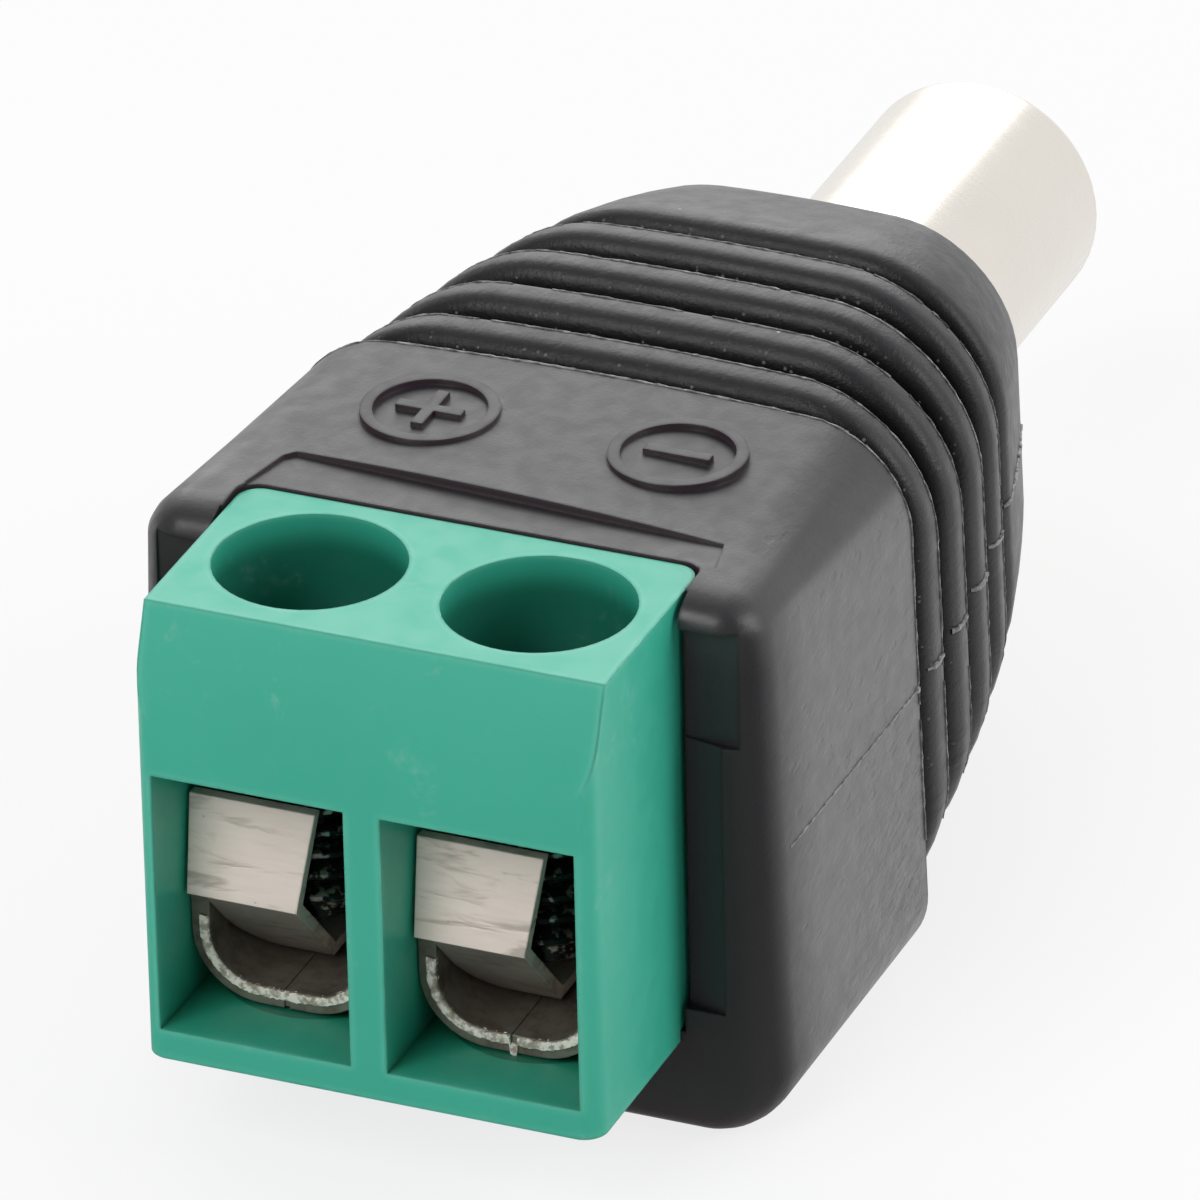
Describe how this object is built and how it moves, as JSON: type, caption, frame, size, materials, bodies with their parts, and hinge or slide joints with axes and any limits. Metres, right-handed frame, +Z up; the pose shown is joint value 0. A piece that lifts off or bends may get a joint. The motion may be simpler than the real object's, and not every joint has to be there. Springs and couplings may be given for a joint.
{
  "type": "dc barrel plug",
  "caption": "DC barrel plug with a screw terminal block moulded into a ribbed soft body, for fitting to bare wires without soldering.",
  "frame": {"origin": "middle of the part's box on the surface that the moulded body rests on", "axes": "+X across the poles, from the plus pole to the minus pole; +Y along the barrel towards its tip; +Z up, the side of the screws"},
  "size_m": [0.0142, 0.034, 0.0127],
  "materials": {
    "soft_black": "fine leathery matt moulding",
    "terminal_green": "satin moulded",
    "tinned_cage": "tin-plated strip with raw cut edges",
    "guard_strip": "nickel-plated strip",
    "screw_steel": "zinc-plated",
    "nickel_barrel": "satin nickel plate",
    "core_black": "moulded",
    "centre_spring": "plated",
    "lead_copper": "tinned copper wire"
  },
  "bodies": {
    "plug": {"overmould_body": "soft_black", "block_housing": "terminal_green", "clamp_cage_left": "tinned_cage", "clamp_cage_right": "tinned_cage", "barrel_sleeve": "nickel_barrel", "sleeve_tag": "tinned_cage", "rear_bush": "core_black", "inner_insulator": "core_black", "centre_contact": "centre_spring", "positive_lead": "lead_copper", "negative_lead": "lead_copper"},
    "guard_left": {"wire_guard_left": "guard_strip"},
    "guard_right": {"wire_guard_right": "guard_strip"},
    "screw_left": {"clamp_screw_left": "screw_steel"},
    "screw_right": {"clamp_screw_right": "screw_steel"}
  },
  "joints": [
    {"name": "guard_travel_left", "type": "slide", "parent": "plug", "child": "guard_left", "axis": [0, 0, 1], "range_m": [0, 0.0015]},
    {"name": "screw_turn_left", "type": "hinge", "parent": "guard_left", "child": "screw_left", "pos_m": [-0.0025, -0.0135, 0.0085], "axis": [0, 0, 1], "range_deg": [0, 1080]},
    {"name": "guard_travel_right", "type": "slide", "parent": "plug", "child": "guard_right", "axis": [0, 0, 1], "range_m": [0, 0.0015]},
    {"name": "screw_turn_right", "type": "hinge", "parent": "guard_right", "child": "screw_right", "pos_m": [0.0025, -0.0135, 0.0085], "axis": [0, 0, 1], "range_deg": [0, 1080]}
  ],
  "couplings": [
    {"joint": "screw_turn_left", "follows": "guard_travel_left", "rad_per_m": 12566},
    {"joint": "screw_turn_right", "follows": "guard_travel_right", "rad_per_m": 12566}
  ]
}
